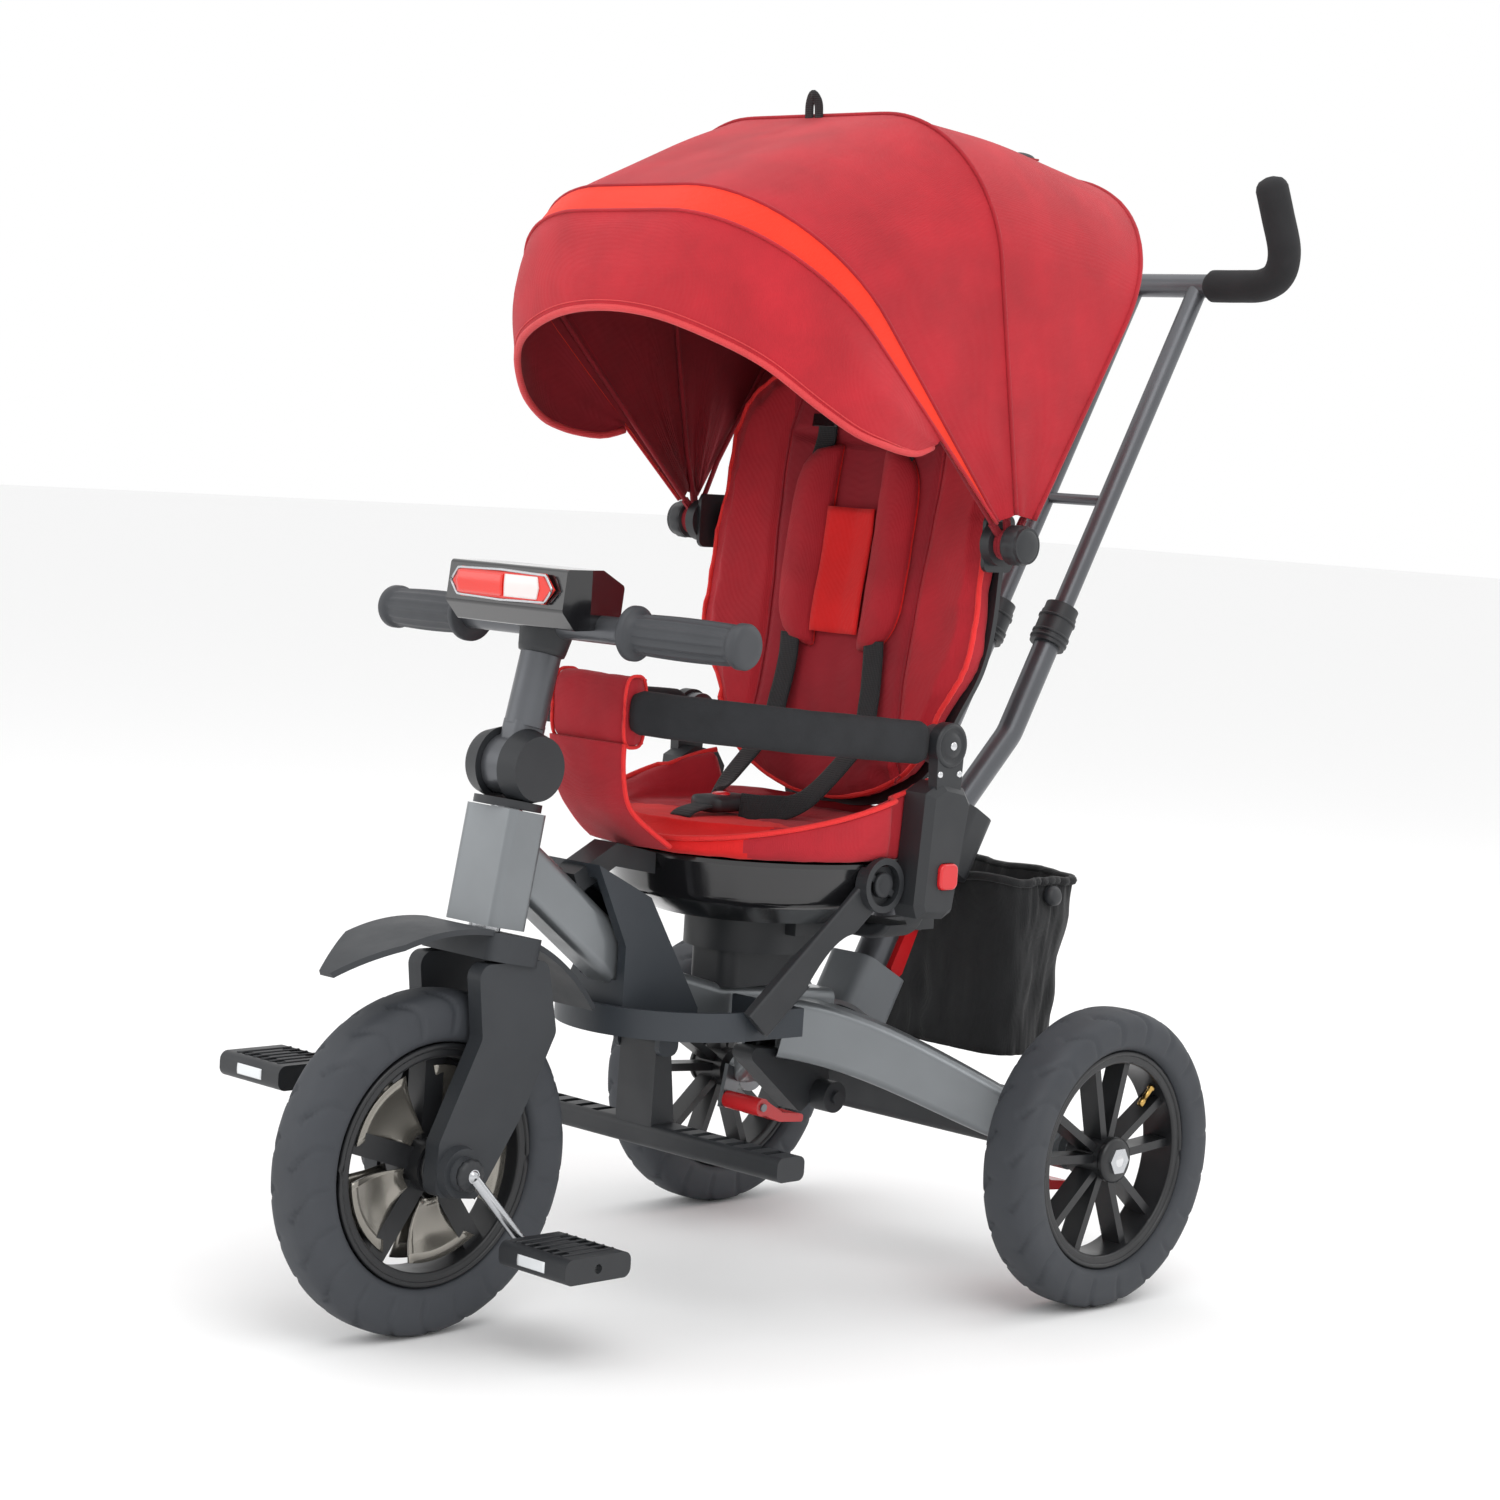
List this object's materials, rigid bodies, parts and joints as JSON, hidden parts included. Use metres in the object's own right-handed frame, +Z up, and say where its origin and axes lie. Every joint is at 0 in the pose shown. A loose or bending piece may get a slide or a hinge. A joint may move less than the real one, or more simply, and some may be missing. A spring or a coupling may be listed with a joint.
{
  "type": "tricycle",
  "caption": "Children's push tricycle: steered front wheel with pedals, reclining bucket seat, swing-up padded safety bar, folding fabric hood, rear basket and sliding parent handle.",
  "frame": {"origin": "on the floor under the centre of the whole object's box", "axes": "+Z up, -Y the way it drives, +X to the child's left"},
  "size_m": [0.56, 1.107, 1.0978],
  "materials": {
    "frame_grey": "satin metallic",
    "tube_grey": "satin gunmetal",
    "steel": "bare",
    "bolt": "bright",
    "black_plastic": "fine grain",
    "pan_plastic": "fine grain",
    "gloss_black": "polished",
    "socket_grey": "smooth",
    "rim_black": "satin",
    "tyre_rubber": "moulded tread",
    "grip_rubber": "ribbed",
    "foam": "foam sleeve",
    "red_plastic": "smooth",
    "red_fabric": "plain weave",
    "coral_fabric": "plain weave",
    "black_fabric": "plain weave",
    "lens_red": "clear moulded"
  },
  "bodies": {
    "frame": {"main_beam": "frame_grey", "head_box": "frame_grey", "rear_leg_left": "frame_grey", "rear_leg_right": "frame_grey", "rear_axle": "steel", "axle_cover": "black_plastic", "post_socket": "socket_grey", "handle_post": "tube_grey", "handle_yoke": "black_plastic", "under_cover": "black_plastic", "lower_tubes": "tube_grey", "tube_collars": "black_plastic", "seat_base": "gloss_black", "seat_cradle": "black_plastic", "side_blocks": "black_plastic", "footrest_pan": "pan_plastic", "footrest_struts": "black_plastic", "seat_pad": "red_fabric", "basket": "black_fabric"},
    "steering": {"steerer": "steel", "fork": "black_plastic", "mudguard": "black_plastic", "knuckle": "black_plastic"},
    "stem_set": {"stem": "tube_grey", "handlebar": "tube_grey", "bar_grips": "grip_rubber", "console": "gloss_black", "console_lens": "lens_red"},
    "front_wheel": {"front_tyre": "tyre_rubber", "front_rim": "rim_black"},
    "crank_set": {"crank": "steel"},
    "pedal_l": {"pedal_left": "black_plastic"},
    "pedal_r": {"pedal_right": "black_plastic"},
    "rear_wheel_l": {"rear_tyre_left": "tyre_rubber", "rear_rim_left": "rim_black"},
    "rear_wheel_r": {"rear_tyre_right": "tyre_rubber", "rear_rim_right": "rim_black"},
    "push_bar": {"push_frame": "tube_grey", "push_grips": "foam"},
    "backrest": {"backrest_pad": "red_fabric", "backrest_shell": "black_plastic", "shoulder_pads": "red_fabric", "canopy_hinges": "black_plastic"},
    "canopy_rear": {"canopy_rib_rear": "steel", "canopy_panel_rear": "red_fabric", "canopy_back": "red_fabric"},
    "canopy_mid": {"canopy_rib_mid": "steel", "canopy_panel_front": "red_fabric"},
    "canopy_front": {"canopy_rib_front": "steel", "canopy_visor": "coral_fabric"},
    "bumper": {"safety_bar": "tube_grey", "bar_foam": "foam", "bar_pad": "red_fabric", "crotch_panel": "red_fabric"},
    "button_l": {"push_button_left": "red_plastic"},
    "button_r": {"push_button_right": "red_plastic"},
    "lever": {"release_lever": "red_plastic"},
    "brake_l": {"brake_pedal_left": "red_plastic"},
    "brake_r": {"brake_pedal_right": "red_plastic"},
    "pegs": {"foot_pegs": "black_plastic"}
  },
  "joints": [
    {"name": "steering_turn", "type": "hinge", "parent": "frame", "child": "steering", "pos_m": [0, -0.3465, 0.352], "axis": [0, 0.1712, 0.9852], "range_deg": [-35, 35]},
    {"name": "stem_fold", "type": "hinge", "parent": "steering", "child": "stem_set", "pos_m": [0, -0.32253, 0.48993], "axis": [1, 0, 0], "range_deg": [0, 80]},
    {"name": "front_wheel_spin", "type": "hinge", "parent": "steering", "child": "front_wheel", "pos_m": [0, -0.4035, 0.15], "axis": [1, 0, 0], "continuous": true},
    {"name": "crank_spin", "type": "hinge", "parent": "steering", "child": "crank_set", "pos_m": [0, -0.4035, 0.15], "axis": [1, 0, 0], "continuous": true},
    {"name": "pedal_left_spin", "type": "hinge", "parent": "crank_set", "child": "pedal_l", "pos_m": [0.129, -0.3537, 0.08739], "axis": [1, 0, 0], "continuous": true},
    {"name": "pedal_right_spin", "type": "hinge", "parent": "crank_set", "child": "pedal_r", "pos_m": [-0.129, -0.4533, 0.21261], "axis": [1, 0, 0], "continuous": true},
    {"name": "rear_wheel_left_spin", "type": "hinge", "parent": "frame", "child": "rear_wheel_l", "pos_m": [0.252, 0.2045, 0.14], "axis": [1, 0, 0], "continuous": true},
    {"name": "rear_wheel_right_spin", "type": "hinge", "parent": "frame", "child": "rear_wheel_r", "pos_m": [-0.252, 0.2045, 0.14], "axis": [1, 0, 0], "continuous": true},
    {"name": "push_bar_slide", "type": "slide", "parent": "frame", "child": "push_bar", "axis": [0, 0.4815, 0.8765], "range_m": [-0.06, 0]},
    {"name": "backrest_recline", "type": "hinge", "parent": "frame", "child": "backrest", "pos_m": [0, 0.1225, 0.452], "axis": [-1, 0, 0], "range_deg": [0, 14]},
    {"name": "canopy_rear_fold", "type": "hinge", "parent": "backrest", "child": "canopy_rear", "pos_m": [0, 0.0745, 0.704], "axis": [-1, 0, 0], "range_deg": [0, 10]},
    {"name": "canopy_mid_fold", "type": "hinge", "parent": "canopy_rear", "child": "canopy_mid", "pos_m": [0, 0.0745, 0.704], "axis": [-1, 0, 0], "range_deg": [0, 28], "deforming": ["canopy_panel_rear"]},
    {"name": "canopy_front_fold", "type": "hinge", "parent": "canopy_mid", "child": "canopy_front", "pos_m": [0, 0.0745, 0.704], "axis": [-1, 0, 0], "range_deg": [0, 22], "deforming": ["canopy_panel_front"]},
    {"name": "bumper_swing", "type": "hinge", "parent": "frame", "child": "bumper", "pos_m": [0, 0.0485, 0.519], "axis": [-1, 0, 0], "range_deg": [0, 55]},
    {"name": "button_left_press", "type": "slide", "parent": "frame", "child": "button_l", "axis": [-1, 0, 0], "range_m": [0, 0.004], "stiffness_N_per_m": 400},
    {"name": "button_right_press", "type": "slide", "parent": "frame", "child": "button_r", "axis": [1, 0, 0], "range_m": [0, 0.004], "stiffness_N_per_m": 400},
    {"name": "lever_pull", "type": "hinge", "parent": "frame", "child": "lever", "pos_m": [0, 0.20215, 0.32859], "axis": [1, 0, 0], "range_deg": [0, 12], "stiffness_Nm_per_rad": 1},
    {"name": "brake_left_press", "type": "hinge", "parent": "frame", "child": "brake_l", "pos_m": [0.177, 0.1705, 0.116], "axis": [-1, 0, 0], "range_deg": [0, 12], "stiffness_Nm_per_rad": 2},
    {"name": "brake_right_press", "type": "hinge", "parent": "frame", "child": "brake_r", "pos_m": [-0.177, 0.1705, 0.116], "axis": [-1, 0, 0], "range_deg": [0, 12], "stiffness_Nm_per_rad": 2},
    {"name": "pegs_fold", "type": "hinge", "parent": "frame", "child": "pegs", "pos_m": [0, -0.1455, 0.236], "axis": [1, 0, 0], "range_deg": [0, 60]}
  ],
  "couplings": [
    {"joint": "crank_spin", "follows": "front_wheel_spin", "ratio": 1},
    {"joint": "canopy_mid_fold", "follows": "canopy_rear_fold", "ratio": 2.8},
    {"joint": "canopy_front_fold", "follows": "canopy_rear_fold", "ratio": 2.2}
  ]
}
